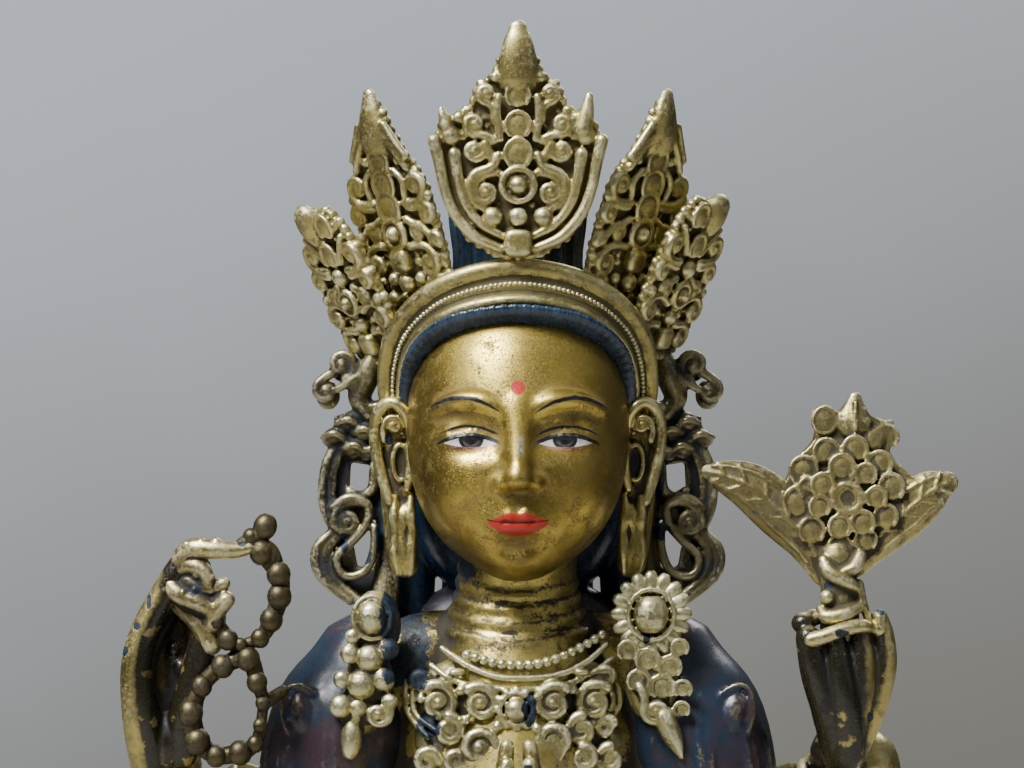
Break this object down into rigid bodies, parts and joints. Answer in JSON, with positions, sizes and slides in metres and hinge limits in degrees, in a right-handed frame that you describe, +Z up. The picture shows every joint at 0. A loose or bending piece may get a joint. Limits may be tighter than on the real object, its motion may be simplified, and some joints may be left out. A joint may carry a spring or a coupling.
{
  "type": "avalokiteshvara statue",
  "caption": "Seated four-armed Avalokiteshvara in aged gold metal, with a five-leaf crown, a rosary and a lotus in the raised hands, on a double lotus seat.",
  "frame": {"origin": "middle of the lotus seat's flat underside", "axes": "+Z up through the crown, -Y the way the face looks, +X to the viewer's right, where the lotus is held"},
  "size_m": [0.1446, 0.107, 0.1998],
  "materials": {
    "aged_gold": "satin gold-coloured metal, dark patina in the recesses, worn bright on the raised edges",
    "seat_gold": "satin gold-coloured metal, dark patina between the petals",
    "hair_paint": "glossy blue-black paint",
    "shawl_paint": "semi-gloss dark purple and blue paint, worn"
  },
  "bodies": {
    "root": {"figure": "aged_gold", "lotus_seat": "seat_gold"}
  },
  "joints": []
}
